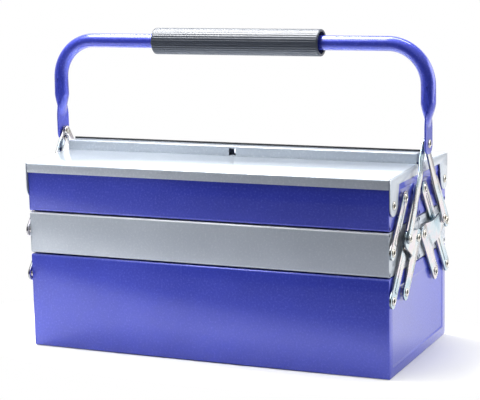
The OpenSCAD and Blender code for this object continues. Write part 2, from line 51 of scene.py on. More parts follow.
# Box and trays. All sizes down to the camera are in millimetres
END_X = 210.0
SIDE_Y = 100.0
SPLIT_Y = 0.4
SHEET = 1.0
HALF_SHEET = SHEET / 2
BOX_TOP = 105.8
MIDDLE_Z = (106.8, 153.4)
TOP_Z = (154.4, 206.1)
HEM, HEM_TURN, HEM_STEPS = 2.1, math.radians(300), 14
FOLD, FOLD_STEPS = 2.3, 4
TRAY_LIFT = 0.4

# Pressed end panels
BORDER, WIDE_BORDER, NEAR_BORDER = 8.5, 12.0, 4.9
BEAD, BEAD_WIDTH = 0.28, 1.2
FIELD_DEPTH, SLOPE_WIDTH, FIELD_CREASE = 0.7, 2.2, 0.3
CREST_TURN = 1.5
RELIEF_R, RELIEF_INSET = 2.1, 3.0

# Lids
LID_EDGE_Z = 208.3
UPSTAND_FOOT_Z = 211.3
LIP_Z = 222.1
SKIRT_Y, SKIRT_DROP = 101.6, 10.5
LID_OVERHANG, LID_FOLD = 0.6, 1.1
FLANGE_DROP, FLANGE_GAP, FLANGE_SINK = 8.4, 1.2, 0.3
UPSTAND_Y, REAR_UPSTAND_Y = 7.8, 8.9
LID_HINGE = (90.2, 180.3)
EAR_R, EAR_WIDTH = 11.4, 29.0
PADLOCK_X, PADLOCK_R, PADLOCK_RISE = -2.5, 4.25, (0.8, 8.3)
REAR_CREST = 0.8
STRIP_GAP, STRIP_RISE, STRIP_SHEET, STRIP_FOLD = 0.12, (0.2, 1.9), 0.25, 0.45

# Linkage. A layer is a link's inner face, outboard of the box's end
LEVER = [(96.0, 82.5), (54.0, 132.5), (12.0, 182.5)]
UPPER_LINK = [(96.0, 132.5), (54.0, 182.5)]
CRANK_FOOT, CRANK_TOP, TIE = (53.0, 82.5), (11.0, 132.5), (62.4, 141.5)
HANDLE_PIVOT = (0.0, 232.0)
LINK_LAYER, ARM_LAYER = 1.4, 6.2
BAR_INNER, BAR_OUTER, BAR_LOW = 5.6, 7.8, 8.6
PLATE = 2.0
LEVER_WIDTH, UPPER_LINK_WIDTH, BAR_WIDTH = 16.0, 15.0, 11.0
CRANK_R, ARM_R = 8.5, 8.0
RIB_GAP, RIB_HALF_WIDTH, RIB_SLOPE, RIB_RISE = 9.5, 2.6, 0.7, 0.7
CRANK_JOGGLE, FIRST_JOGGLE, SECOND_JOGGLE = (12.0, 20.0), (20.0, 35.0), (63.0, 78.0)

# Rivets
HEAD_R, HEAD_H, SHANK_R, HOLLOW_R, SHOULDER_R = 4.6, 1.2, 2.6, 2.3, 4.0
ROLL_H, TAIL_SPREAD, TAIL_H, PLAY = 0.85, 0.35, 1.0, 0.05
RIVET_STEPS = 28

# Handle and grip
FLAT_LAYER, FLAT_T, FLAT_W = 10.0, 2.0, 25.0
TUBE_R, LEG_X, TUBE_Z, BEND_R = 8.0, 221.0, 337.0, 44.0
FLAT_TOP, ROUND_Z, CROWN_R = 248.0, 276.0, 9.0
TIP_DROP, TIP_ROUND, RING_STEP = 10.5, 9.0, 1.5
GRIP_X, GRIP_R, GRIP_BORE = (-96.5, 102.5), 14.7, 8.05
GRIP_RIBS, POINTS_PER_RIB, GROOVE_DEPTH = 32, 6, 0.35

# Camera: place in metres, turns in degrees, lens in millimetres
CAMERA_PLACE = (0.69940, -1.57521, 0.45992)
YAW, PITCH, ROLL = 23.8685, 9.8583, -1.19876
LENS = 117.27


# Shader maths
class Wire:
    """A socket of a finish's nodes. Operators on it add Math nodes."""

    def __init__(self, finish, socket):
        self.finish, self.socket = finish, socket

    def _math(self, operation, a, b):
        return self.finish.node("ShaderNodeMath", {"operation": operation}, {0: a, 1: b})

    def __add__(self, other):
        return self._math("ADD", self, other)

    def __radd__(self, other):
        return self._math("ADD", other, self)

    def __sub__(self, other):
        return self._math("SUBTRACT", self, other)

    def __rsub__(self, other):
        return self._math("SUBTRACT", other, self)

    def __mul__(self, other):
        return self._math("MULTIPLY", self, other)

    def __rmul__(self, other):
        return self._math("MULTIPLY", other, self)

    def __truediv__(self, other):
        return self._math("DIVIDE", self, other)

    def __rtruediv__(self, other):
        return self._math("DIVIDE", other, self)

    def __pow__(self, other):
        return self._math("POWER", self, other)

    def __rpow__(self, other):
        return self._math("POWER", other, self)


class Finish:
    """A material, or the world, built from nodes."""

    def __init__(self, name, owner=None):
        self.owner = owner or bpy.data.materials.new(name)
        self.owner.use_nodes = True
        self.tree = self.owner.node_tree
        self.tree.nodes.clear()

    def node(self, kind, settings=None, inputs=None, output=0):
        """Adds a node: its settings first, then the values or links of its sockets."""
        made = self.tree.nodes.new(kind)
        for key, value in (settings or {}).items():
            if key == "stops":
                self.set_stops(made.color_ramp, value)
            else:
                setattr(made, key, value)
        for key, value in (inputs or {}).items():
            if isinstance(value, Wire):
                self.tree.links.new(value.socket, made.inputs[key])
            else:
                made.inputs[key].default_value = value
        return Wire(self, made.outputs[output]) if made.outputs else None

    @staticmethod
    def set_stops(ramp, stops):
        """Gives a ramp its (place, colour) stops."""
        while len(ramp.elements) > len(stops):
            ramp.elements.remove(ramp.elements[-1])
        while len(ramp.elements) < len(stops):
            ramp.elements.new(1.0)
        for stop, (place, colour) in zip(ramp.elements, stops):
            stop.position = place
            stop.color = (*colour, 1.0)

    def place(self):
        return self.node("ShaderNodeTexCoord", output="Object")

    def stretched(self, where, scale):
        return self.node("ShaderNodeMapping", {}, {"Vector": where, "Scale": scale})

    def noise(self, where, scale, detail, roughness):
        return self.node("ShaderNodeTexNoise", {}, {
            "Vector": where, "Scale": scale, "Detail": detail, "Roughness": roughness})

    def ramp(self, value, stops):
        return self.node("ShaderNodeValToRGB", {"stops": stops}, {0: value})

    def smooth(self, value, low, high):
        """0 below low, 1 above high, and smooth between them."""
        return self.node("ShaderNodeMapRange", {"interpolation_type": "SMOOTHSTEP"}, {
            "Value": value, "From Min": low, "From Max": high})

    def mix(self, mask, first, second):
        """The first colour where the mask is 0, the second where it is 1."""
        return self.node("ShaderNodeMix", {"data_type": "RGBA"}, {0: mask, 6: first, 7: second},
                         output=2)

    def axes(self, where):
        """The x, y and z of a vector."""
        x = self.node("ShaderNodeSeparateXYZ", {}, {0: where})
        return [Wire(self, socket) for socket in x.socket.node.outputs]

    def ray(self, kind):
        """1 for rays of a kind, such as Is Camera Ray."""
        return self.node("ShaderNodeLightPath", output=kind)

    def bump(self, height, strength, distance):
        return self.node("ShaderNodeBump", {}, {
            "Height": height, "Strength": strength, "Distance": distance})

    def surface(self, **sockets):
        """Ends the material in a Principled shader with these sockets set."""
        shader = self.node("ShaderNodeBsdfPrincipled", {}, {
            key.replace("_", " "): value for key, value in sockets.items()})
        self.node("ShaderNodeOutputMaterial", {}, {"Surface": shader})
        return self.owner


def rgb(r, g, b):
    return (r, g, b, 1.0)


def enamel(name, colour, deep, pale, metallic, roughness, coat):
    """Stoved enamel: fine metallic speckle, orange peel and a faint cloudiness."""
    paint = Finish(name)
    where = paint.place()
    speck = paint.noise(where, scale=1500.0, detail=2.0, roughness=0.6)
    peel = paint.noise(where, scale=430.0, detail=3.0, roughness=0.6)
    cloud = paint.noise(where, scale=9.0, detail=3.0, roughness=0.6)
    clouded = paint.mix(paint.smooth(cloud, 0.3, 0.7), deep, colour)
    # The peel's dips, low in the bump, are mixed towards the deeper colour: painted shade. Its
    # crests, with the speckle, are mixed towards the pale colour: painted glints.
    peel_shaded = paint.mix(paint.smooth(peel, 0.50, 0.34) * 0.35, clouded, deep)
    glints = paint.smooth(speck * 0.4 + peel * 0.6, 0.50, 0.66)
    return paint.surface(
        Base_Color=paint.mix(glints * 0.45, peel_shaded, pale), Metallic=metallic,
        Roughness=roughness + (cloud - 0.5) * 0.05 + (peel - 0.5) * 0.12,
        Coat_Weight=coat, Coat_Roughness=0.06,
        Normal=paint.bump(peel * 0.8 + speck * 0.2, strength=0.5, distance=0.0004))


def zinc_plate(name, unshaded_share):
    """Zinc with faint passivation colours, rolling lines and small scuffs. A share below 1 mixes
    the colour towards near-black: painted shade.
    """
    zinc = Finish(name)
    where = zinc.place()
    wave = zinc.noise(where, scale=26.0, detail=3.0, roughness=0.55)
    fine = zinc.noise(where, scale=900.0, detail=3.0, roughness=0.6)
    scuff = zinc.noise(zinc.stretched(where, (0.4, 1.0, 0.25)),
                       scale=420.0, detail=2.0, roughness=0.6)
    rainbow = zinc.ramp(wave, [
        (0.28, (0.55, 0.71, 0.80)), (0.40, (0.76, 0.84, 0.89)), (0.47, (0.90, 0.82, 0.87)),
        (0.53, (0.92, 0.87, 0.84)), (0.60, (0.80, 0.88, 0.92)), (0.70, (0.62, 0.78, 0.88))])
    scuffed = zinc.mix(zinc.smooth(scuff, 0.58, 0.75) * 0.35, rainbow, rgb(0.55, 0.57, 0.60))
    return zinc.surface(
        Base_Color=zinc.mix(1.0 - unshaded_share, scuffed, rgb(0.04, 0.06, 0.075)), Metallic=1.0,
        Roughness=0.17 + (fine - 0.5) * 0.10 + zinc.smooth(scuff, 0.5, 0.8) * 0.15,
        Normal=zinc.bump(wave * 0.7 + fine * 0.3, strength=0.25, distance=0.0003))


def rivet_steel(name, colour, warm, roughness):
    """Rivet metal with warmer patches."""
    steel = Finish(name)
    where = steel.place()
    fine = steel.noise(where, scale=1400.0, detail=3.0, roughness=0.6)
    patch = steel.noise(where, scale=240.0, detail=2.0, roughness=0.5)
    return steel.surface(
        Base_Color=steel.mix(steel.smooth(patch, 0.42, 0.68) * 0.5, colour, warm), Metallic=0.9,
        Roughness=roughness + (fine - 0.5) * 0.2,
        Normal=steel.bump(fine, strength=0.3, distance=0.0002))


def grip_plastic():
    """Soft slate plastic with a drawn grain along the sleeve."""
    plastic = Finish("grip_plastic")
    where = plastic.place()
    drawn = plastic.noise(plastic.stretched(where, (0.05, 1.0, 1.0)),
                          scale=900.0, detail=2.0, roughness=0.5)
    fine = plastic.noise(where, scale=1900.0, detail=2.0, roughness=0.6)
    slate, pale_slate = rgb(0.034, 0.043, 0.062), rgb(0.046, 0.056, 0.078)
    return plastic.surface(
        Base_Color=plastic.mix(plastic.smooth(drawn, 0.35, 0.7), slate, pale_slate),
        Roughness=0.46 + (fine - 0.5) * 0.12, Coat_Weight=0.4, Coat_Roughness=0.32,
        Normal=plastic.bump(drawn * 0.5 + fine * 0.5, strength=0.06, distance=0.0001))


def black_edging():
    """Matt black, plastic-like: painted shade for the shadow gap along the lids' split."""
    plastic = Finish("black_edging")
    fine = plastic.noise(plastic.place(), scale=1500.0, detail=3.0, roughness=0.6)
    return plastic.surface(
        Base_Color=plastic.mix(fine, rgb(0.008, 0.008, 0.010), rgb(0.030, 0.030, 0.034)),
        Roughness=0.45 + (fine - 0.5) * 0.2,
        Normal=plastic.bump(fine, strength=0.4, distance=0.0002))


BLUE = enamel("blue_enamel", colour=rgb(0.052, 0.075, 0.62), deep=rgb(0.042, 0.062, 0.55),
              pale=rgb(0.16, 0.19, 0.86), metallic=0.3, roughness=0.34, coat=1.0)
GREY = enamel("grey_enamel", colour=rgb(0.56, 0.615, 0.685), deep=rgb(0.51, 0.565, 0.635),
              pale=rgb(0.76, 0.80, 0.84), metallic=0.2, roughness=0.36, coat=0.9)
# Paler enamels for the rolled hems: a painted highlight where the hems' curves catch the light.
BLUE_HEM_HIGHLIGHT = enamel("blue_enamel_hem_highlight", colour=rgb(0.11, 0.14, 0.72), deep=rgb(0.08, 0.11, 0.66),
                  pale=rgb(0.30, 0.34, 0.92), metallic=0.3, roughness=0.30, coat=1.0)
GREY_HEM_HIGHLIGHT = enamel("grey_enamel_hem_highlight", colour=rgb(0.86, 0.89, 0.93), deep=rgb(0.80, 0.84, 0.88),
                  pale=rgb(0.92, 0.94, 0.96), metallic=0.1, roughness=0.30, coat=1.0)
ZINC = zinc_plate("zinc_plate", unshaded_share=1.0)
# The same zinc mixed mostly to near-black: painted shade for the rib slopes and the plates' cut
# edges.
ZINC_PAINTED_SHADE = zinc_plate("zinc_painted_shade", unshaded_share=0.34)
RIVET = rivet_steel("rivet_zinc", colour=rgb(0.80, 0.79, 0.74), warm=rgb(0.52, 0.42, 0.27),
                    roughness=0.22)
# Near-black rivet metal for the hollow centres of the heads: painted shade in the recess.
HOLLOW_SHADE = rivet_steel("rivet_hollow_painted_shade", colour=rgb(0.020, 0.017, 0.012),
                     warm=rgb(0.05, 0.038, 0.02), roughness=0.5)
GRIP = grip_plastic()
GAP_SHADE_BLACK = black_edging()
# Each enamel with the paler copy that paints its hem's highlight.
HEM_HIGHLIGHT = {BLUE: BLUE_HEM_HIGHLIGHT, GREY: GREY_HEM_HIGHLIGHT}


# Drawings and pieces
def split(bm, place, across):
    """Cuts every face of a drawing along a plane."""
    bmesh.ops.bisect_plane(bm, geom=bm.verts[:] + bm.edges[:] + bm.faces[:],
                           dist=1e-5, plane_co=place, plane_no=across)


def split_box(bm, low, high):
    """Cuts a drawing along the four sides of the field between two corners."""
    for x in (low[0], high[0]):
        split(bm, (x, 0, 0), (1, 0, 0))
    for y in (low[1], high[1]):
        split(bm, (0, y, 0), (0, 1, 0))


def shift(bm, vec):
    bmesh.ops.translate(bm, vec=vec, verts=bm.verts[:])


def place_by(bm, matrix):
    bmesh.ops.transform(bm, matrix=matrix, verts=bm.verts[:])


def extrude(bm, edges, vec):
    """Extrudes edges and moves what is new. Gives the new edges and the new vertices."""
    geom = bmesh.ops.extrude_edge_only(bm, edges=edges)["geom"]
    verts = [g for g in geom if isinstance(g, bmesh.types.BMVert)]
    bmesh.ops.translate(bm, vec=vec, verts=verts)
    return [g for g in geom if isinstance(g, bmesh.types.BMEdge)], verts


def round_edges(bm, edges, offset, segments):
    bmesh.ops.bevel(bm, geom=edges, offset=offset, offset_type="OFFSET", segments=segments,
                    profile=0.5, affect="EDGES", material=-1)


def round_corner(bm, corner, offset, segments):
    """Rounds the corner of a flat drawing that lies at a point."""
    place = Vector((*corner, 0.0))
    nearest = min(bm.verts, key=lambda v: (v.co - place).length)
    bmesh.ops.bevel(bm, geom=[nearest], offset=offset, offset_type="OFFSET", segments=segments,
                    profile=0.5, affect="VERTICES", material=-1)


def drawing(points, corners=()):
    """A flat face with some of its corners rounded: corners holds (index, offset, segments)."""
    bm = bmesh.new()
    bm.faces.new([bm.verts.new((x, y, 0.0)) for x, y in points])
    for index, offset, segments in corners:
        round_corner(bm, points[index], offset, segments)
    return bm


def end_matrix(half, end):
    """Takes a drawing to an end of the box."""
    return Matrix(((0, 0, end, end * END_X), (half, 0, 0, 0), (0, 1, 0, 0), (0, 0, 0, 1)))


def own_matrix(foot, top):
    """Takes x along a link from its foot and y across it, to an end's drawing."""
    along = (Vector(top) - Vector(foot)).normalized()
    return Matrix(((along.x, -along.y, 0, foot[0]), (along.y, along.x, 0, foot[1]),
                   (0, 0, 1, 0), (0, 0, 0, 1)))


def joined(drawings):
    """Puts several closed drawings into one."""
    whole = bmesh.new()
    for bm in drawings:
        part = bpy.data.meshes.new("part")
        bm.to_mesh(part)
        bm.free()
        whole.from_mesh(part)
        bpy.data.meshes.remove(part)
    return whole


def finish_piece(name, bm, materials, body, node=None, sheet=None, edge=None, sharp=34.0):
    """Gives a drawing its sheet thickness and edges, and makes it a piece of a body."""
    bmesh.ops.remove_doubles(bm, verts=bm.verts[:], dist=1e-4)
    bmesh.ops.recalc_face_normals(bm, faces=bm.faces[:])
    bmesh.ops.scale(bm, vec=(MM, MM, MM), verts=bm.verts[:])
    mesh = bpy.data.meshes.new(name)
    bm.to_mesh(mesh)
    bm.free()
    for material in materials:
        mesh.materials.append(material)
    piece = bpy.data.objects.new(name, mesh)
    bpy.context.scene.collection.objects.link(piece)
    if sheet:
        wall = piece.modifiers.new("sheet", "SOLIDIFY")
        wall.thickness, wall.offset, wall.use_even_offset = sheet * MM, 0.0, True
        # The rim faces, the plates' cut edges, take the zinc with painted shade.
        wall.material_offset_rim = 1 if materials[-1] is ZINC_PAINTED_SHADE else 0
        wall.use_quality_normals = True
    if edge:
        rounding = piece.modifiers.new("edge", "BEVEL")
        rounding.width, rounding.segments, rounding.limit_method = edge * MM, 2, "ANGLE"
        rounding.angle_limit = math.radians(40.0)
        rounding.use_clamp_overlap = True
    graph = bpy.context.evaluated_depsgraph_get()
    made = bpy.data.meshes.new_from_object(piece.evaluated_get(graph))
    piece.modifiers.clear()
    piece.data = made
    made.polygons.foreach_set("use_smooth", [True] * len(made.polygons))
    made.set_sharp_from_angle(angle=math.radians(sharp))
    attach(piece, body)
    if node:
        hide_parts(node)


# Folded trays
def strip_along(points, half_length):
    """A strip of sheet along the box from a section drawn as (y, z) points."""
    bm = bmesh.new()
    row = [bm.verts.new((-half_length, y, z)) for y, z in points]
    edges = [bm.edges.new(pair) for pair in zip(row, row[1:])]
    extrude(bm, edges, (2 * half_length, 0, 0))
    return bm


def edges_at(bm, point):
    """The edges that run along the box through a (y, z) point."""
    y, z = point
    return [edge for edge in bm.edges if all(
        abs(v.co.y - y) < TOUCHING and abs(v.co.z - z) < TOUCHING for v in edge.verts)]


def fold_at(bm, point, offset):
    """Rounds the fold that runs along the box through a (y, z) point."""
    round_edges(bm, edges_at(bm, point), offset, FOLD_STEPS)


def curl_at(bm, point, centre, angle):
    """Rolls the edge at a (y, z) point round a centre."""
    edges = edges_at(bm, point)
    geom = edges + list({v for edge in edges for v in edge.verts})
    bmesh.ops.spin(bm, geom=geom, cent=(0, *centre), axis=(1, 0, 0), dvec=(0, 0, 0),
                   angle=angle, steps=HEM_STEPS, use_duplicate=False)


def tray(name, low, high, finish, body):
    """A folded tray: floor, two walls and a hem rolled inwards along each wall.

    A stacked tray's floor is lifted, so that the gap below it shows.
    """
    near, far = low[0] + HALF_SHEET, high[0] - HALF_SHEET
    floor = low[1] + HALF_SHEET + (TRAY_LIFT if low[1] > 0 else 0.0)
    rim = high[1] - HEM
    bm = strip_along([(near, rim), (near, floor), (far, floor), (far, rim)], END_X - SHEET)
    for y in (near, far):
        fold_at(bm, (y, floor), FOLD - HALF_SHEET)
    curl_at(bm, (near, rim), (low[0] + HEM, rim), -HEM_TURN)
    curl_at(bm, (far, rim), (high[0] - HEM, rim), HEM_TURN)
    # The hems' faces take the paler enamel: a painted highlight.
    for face in bm.faces:
        face.material_index = 1 if face.calc_center_median().z > rim + 0.1 else 0
    finish_piece(name, bm, [finish, HEM_HIGHLIGHT[finish]], body, name, sheet=SHEET, edge=0.15)


# Pressed end panels
def inside(point, low, high, room=0.0):
    """Whether a point of a drawing lies between two corners, give or take some room."""
    return (low[0] - room < point.x < high[0] + room
            and low[1] - room < point.y < high[1] + room)


def level_crease(edge, angle):
    """Whether two faces meet at more than an angle along an edge that keeps its height."""
    return (len(edge.link_faces) == 2 and edge.calc_face_angle() > angle
            and abs(edge.verts[0].co.z - edge.verts[1].co.z) < 1e-4)


def press(bm, low, high):
    """Presses the field between two corners: up to a low bead, then down to its depth."""
    split_box(bm, low, high)
    field = [face for face in bm.faces if inside(face.calc_center_median(), low, high)]
    for width, depth in ((BEAD_WIDTH, BEAD), (SLOPE_WIDTH, -FIELD_DEPTH - BEAD)):
        bmesh.ops.inset_region(bm, faces=field, thickness=width, depth=depth,
                               use_even_offset=True, use_boundary=True)
    creases = [edge for edge in bm.edges if level_crease(edge, 0.15)
               and all(inside(v.co, low, high, 0.01) for v in edge.verts)]
    round_edges(bm, creases, FIELD_CREASE, 2)


def drill(bm, centre, radius):
    """A round hole where two cuts cross."""
    split(bm, (centre[0], 0, 0), (1, 0, 0))
    split(bm, (0, centre[1], 0), (0, 1, 0))
    round_corner(bm, centre, radius, 1)
    middle = Vector((*centre, 0.0))

    def hole():
        return min(bm.faces, key=lambda face: (face.calc_center_median() - middle).length)

    bmesh.ops.subdivide_edges(bm, edges=list(hole().edges), cuts=3)
    for v in bm.verts:
        if 0 < (v.co - middle).length < radius * 1.01:
            v.co = middle + (v.co - middle).normalized() * radius
    bmesh.ops.delete(bm, geom=[hole()], context="FACES")


def end_panel(name, body, half, end, finish, panel, field, relief):
    """A pressed end panel, folded in at its foot and crest, with or without relief holes."""
    low, high = panel
    foot, crest = low[1] + HALF_SHEET, high[1] - HALF_SHEET
    bm = drawing([(low[0], foot), (high[0], foot), (high[0], crest), (low[0], crest)],
                 [(0, FOLD, 4), (1, FOLD, 4), (2, HEM, 3), (3, HEM, 3)])
    for y, turn in ((foot, FOLD), (crest, CREST_TURN)):
        rim = [edge for edge in bm.edges if all(abs(v.co.y - y) < 1e-4 for v in edge.verts)]
        extrude(bm, rim, (0, 0, -turn))
        round_edges(bm, rim, turn * 0.7, 3)
    if relief:
        for x in (low[0] + RELIEF_INSET, high[0] - RELIEF_INSET):
            for y in (low[1] + RELIEF_INSET, high[1] - RELIEF_INSET):
                drill(bm, (x, y), RELIEF_R)
    press(bm, *field)
    shift(bm, (0, 0, -HALF_SHEET))
    place_by(bm, end_matrix(half, end))
    finish_piece(name, bm, [finish], body, name, sheet=SHEET, edge=0.18)


def trays_and_panels():
    outer = SIDE_Y - BORDER
    low, high = (-SIDE_Y, 0.0), (SIDE_Y, BOX_TOP)
    field = ((-outer, BORDER), (outer, BOX_TOP - WIDE_BORDER))
    tray("bottom_box_shell", low, high, BLUE, "bottom_box")
    for end_name, end in ENDS.items():
        end_panel(f"bottom_box_{end_name}_end", "bottom_box", REAR, end, BLUE, (low, high),
                  field, relief=False)
    for half_name, half in HALVES.items():
        for level, (foot, crest), finish, border in (("middle", MIDDLE_Z, GREY, BORDER),
                                                     ("top", TOP_Z, BLUE, WIDE_BORDER)):
            body = f"{half_name}_{level}_tray"
            near, far = sorted((half * SPLIT_Y, half * SIDE_Y))
            tray(f"{body}_shell", (near, foot), (far, crest), finish, body)
            panel = ((SPLIT_Y, foot), (SIDE_Y, crest))
            field = ((SPLIT_Y + NEAR_BORDER, foot + border), (outer, crest - border))
            for end_name, end in ENDS.items():
                end_panel(f"{body}_{end_name}_end", body, half, end, finish, panel, field,
                          relief=True)


# Lids
def padlock_cut(bm, y):
    """Cuts the square padlock hole out of an upstand at y."""
    foot, top = (UPSTAND_FOOT_Z + rise for rise in PADLOCK_RISE)
    for x in (PADLOCK_X - PADLOCK_R, PADLOCK_X + PADLOCK_R):
        split(bm, (x, 0, 0), (1, 0, 0))
    for z in (foot, top):
        split(bm, (0, 0, z), (0, 0, 1))

    def in_hole(middle):
        return (abs(middle.y - y) < 0.8 and abs(middle.x - PADLOCK_X) < PADLOCK_R
                and foot < middle.z < top)

    hole = [face for face in bm.faces if in_hole(face.calc_center_median())]
    bmesh.ops.delete(bm, geom=hole, context="FACES")


def lid_flange(half, end, upstand_y):
    """End flange of a lid with its ear, as a closed plate."""
    lower = LID_EDGE_Z - FLANGE_DROP
    ear_foot = LID_HINGE[1] - EAR_R
    points = [(upstand_y, UPSTAND_FOOT_Z - FLANGE_SINK), (upstand_y, lower),
              (SKIRT_Y - EAR_WIDTH, lower), (LID_HINGE[0] - EAR_R, ear_foot),
              (SKIRT_Y, ear_foot), (SKIRT_Y, LID_EDGE_Z - FLANGE_SINK)]
    bm = drawing(points, [(3, EAR_R * 0.97, 8), (4, EAR_R, 8), (2, 1.5, 3)])
    made = bmesh.ops.extrude_face_region(bm, geom=bm.faces[:])["geom"]
    bmesh.ops.translate(bm, vec=(0, 0, SHEET), verts=[
        g for g in made if isinstance(g, bmesh.types.BMVert)])
    shift(bm, (0, 0, FLANGE_GAP))
    place_by(bm, end_matrix(half, end))
    return bm


def lid(half_name, half, upstand_y, crest):
    """A lid: skirt and top as one folded sheet, an upstand, and an end flange at each end."""
    name = f"{half_name}_lid"
    skirt_y, foot_y = half * (SKIRT_Y - HALF_SHEET), half * upstand_y + HALF_SHEET
    edge_z, foot_z = LID_EDGE_Z - HALF_SHEET, UPSTAND_FOOT_Z - HALF_SHEET
    top = strip_along([(skirt_y, LID_EDGE_Z - SKIRT_DROP), (skirt_y, edge_z), (foot_y, foot_z)],
                      END_X + LID_OVERHANG)
    fold_at(top, (skirt_y, edge_z), LID_FOLD)
    finish_piece(name, top, [GREY], name, name, sheet=SHEET, edge=0.2)
    upstand = strip_along([(foot_y, foot_z)] + crest, END_X)
    padlock_cut(upstand, foot_y)
    for point in crest[:-1]:
        fold_at(upstand, point, LID_FOLD)
    finish_piece(f"{name}_upstand", upstand, [GREY], name, sheet=SHEET, edge=0.2)
    for end_name, end in ENDS.items():
        finish_piece(f"{name}_{end_name}_flange", lid_flange(half, end, upstand_y), [GREY],
                     name, edge=0.3)


def lids():
    """The front lid's upstand ends in a lip over the split, the rear lid's in a plain edge."""
    lip_y, lip_z = UPSTAND_Y - HALF_SHEET, LIP_Z - HALF_SHEET
    lid("front", FRONT, UPSTAND_Y, [(-lip_y, lip_z), (lip_y, lip_z)])
    lid("rear", REAR, REAR_UPSTAND_Y - SHEET, [(REAR_UPSTAND_Y - HALF_SHEET,
                                                LIP_Z + REAR_CREST)])


def edge_strip():
    """A black channel over the top edge of the rear lid's upstand: painted shade for the shadow
    gap along the lids' split.
    """
    near, far = REAR_UPSTAND_Y - SHEET - STRIP_GAP, REAR_UPSTAND_Y + STRIP_GAP
    foot, top = (LIP_Z + rise for rise in STRIP_RISE)
    bm = strip_along([(near, foot), (near, top), (far, top), (far, foot)], END_X)
    for y in (near, far):
        fold_at(bm, (y, top), STRIP_FOLD)
    finish_piece("lid_edge_strip", bm, [GAP_SHADE_BLACK], "rear_lid", "lid_edge_strip",
                 sheet=STRIP_SHEET, edge=0.08)


# Plated links
def round_ended(length, r):
    """A bar along x from 0 to its length, with round ends of radius r about those points."""
    return drawing([(-r, -r), (length + r, -r), (length + r, r), (-r, r)],
                   [(corner, r * 0.999, 8) for corner in range(4)])


def raise_ribs(bm, spans):
    """Raises a rib along each span of a link; its slopes are given painted shade."""
    for x in (x for span in spans for x in span):
        split(bm, (x, 0, 0), (1, 0, 0))
    for y in (-RIB_HALF_WIDTH, RIB_HALF_WIDTH):
        split(bm, (0, y, 0), (0, 1, 0))
    for start, stop in spans:
        corners = (start, -RIB_HALF_WIDTH), (stop, RIB_HALF_WIDTH)
        crest = [face for face in bm.faces if inside(face.calc_center_median(), *corners)]
        bmesh.ops.inset_region(bm, faces=crest, thickness=RIB_SLOPE, depth=RIB_RISE,
                               use_even_offset=True)
    round_edges(bm, [edge for edge in bm.edges if level_crease(edge, 0.2)], 0.2, 2)
    # The rib's slopes take the second zinc, with painted shade.
    for face in bm.faces:
        face.material_index = 1 if abs(face.normal.z) < 0.85 else 0


def link_plate(points, width):
    """A straight link: a plate with round ends, and a rib raised between its pivots."""
    stations = [(Vector(point) - Vector(points[0])).length for point in points]
    bm = round_ended(stations[-1], width / 2)
    raise_ribs(bm, [(a + RIB_GAP, b - RIB_GAP) for a, b in zip(stations, stations[1:])])
    place_by(bm, own_matrix(points[0], points[-1]))
    shift(bm, (0, 0, LINK_LAYER + PLATE / 2))
    return bm


def joggle(bm, near, far, start, rise):
    """Steps everything beyond two places along x outboard, with soft creases."""
    for x in (near, far):
        split(bm, (x, 0, 0), (1, 0, 0))
    for v in bm.verts:
        if v.co.x > near + 1e-4:
            v.co.z = start + rise * min(1.0, (v.co.x - near) / (far - near))

    def at_step(edge):
        a, b = (v.co.x for v in edge.verts)
        return abs(a - b) < TOUCHING and any(
            abs(a - x) < TOUCHING and abs(b - x) < TOUCHING for x in (near, far))

    creases = [edge for edge in bm.edges if len(edge.link_faces) == 2 and at_step(edge)]
    round_edges(bm, creases, 1.6, 3)


def crank_drawing():
    """The bell crank in its own frame: x across it towards the tie pivot, y along it."""
    foot, top, tie = Vector(CRANK_FOOT), Vector(CRANK_TOP), Vector(TIE)
    along = (top - foot).normalized()
    across = Vector((along.y, -along.x))
    own = Matrix(((across.x, along.x, 0, foot.x), (across.y, along.y, 0, foot.y),
                  (0, 0, 1, 0), (0, 0, 0, 1)))
    reach = (top - foot).length
    arm_end = Vector(((tie - foot).dot(across), (tie - foot).dot(along)))
    arm = (arm_end - Vector((0, reach))).normalized()
    side = Vector((-arm.y, arm.x))
    tip = arm_end + arm * ARM_R
    r, crown = CRANK_R, reach + CRANK_R + 1.0
    throat = (r + 5.0, arm_end.y - ARM_R + 3.0)
    points = [(-r, -r), (r, -r), (r, 17.0), throat, tuple(tip - side * ARM_R),
              tuple(tip + side * ARM_R), (3.0, crown), (-r, crown)]
    bm = drawing(points, [(0, r * 0.99, 7), (1, r * 0.99, 7), (2, 3.0, 3), (3, 3.5, 4),
                          (4, 7.6, 6), (5, 7.0, 6), (6, 2.0, 3), (7, 5.0, 5)])
    joggle(bm, *CRANK_JOGGLE, 0.0, ARM_LAYER - LINK_LAYER)
    place_by(bm, own)
    shift(bm, (0, 0, LINK_LAYER + PLATE / 2))
    return bm


def bar_drawing(inner):
    """A tie bar along x from the handle's pivot, joggled outboard on its way to the crank."""
    bm = round_ended((Vector(TIE) - Vector(HANDLE_PIVOT)).length, BAR_WIDTH / 2)
    shift(bm, (0, 0, BAR_INNER if inner else BAR_OUTER))
    if inner:
        joggle(bm, *FIRST_JOGGLE, BAR_INNER, BAR_OUTER - BAR_INNER)
    joggle(bm, *SECOND_JOGGLE, BAR_OUTER, BAR_LOW - BAR_OUTER)
    place_by(bm, own_matrix(HANDLE_PIVOT, TIE))
    shift(bm, (0, 0, PLATE / 2))
    return bm


def linkage():
    for half_name, half in HALVES.items():
        for end_name, end in ENDS.items():
            inner = half * end == FRONT * RIGHT
            for kind, bm in (("lever", link_plate(LEVER, LEVER_WIDTH)),
                             ("upper_link", link_plate(UPPER_LINK, UPPER_LINK_WIDTH)),
                             ("crank", crank_drawing()), ("tie_bar", bar_drawing(inner))):
                name = f"{half_name}_{end_name}_{kind}"
                place_by(bm, end_matrix(half, end))
                finish_piece(name, bm, [ZINC, ZINC_PAINTED_SHADE], f"{half_name}_{kind}s", name,
                             sheet=PLATE, edge=0.3)


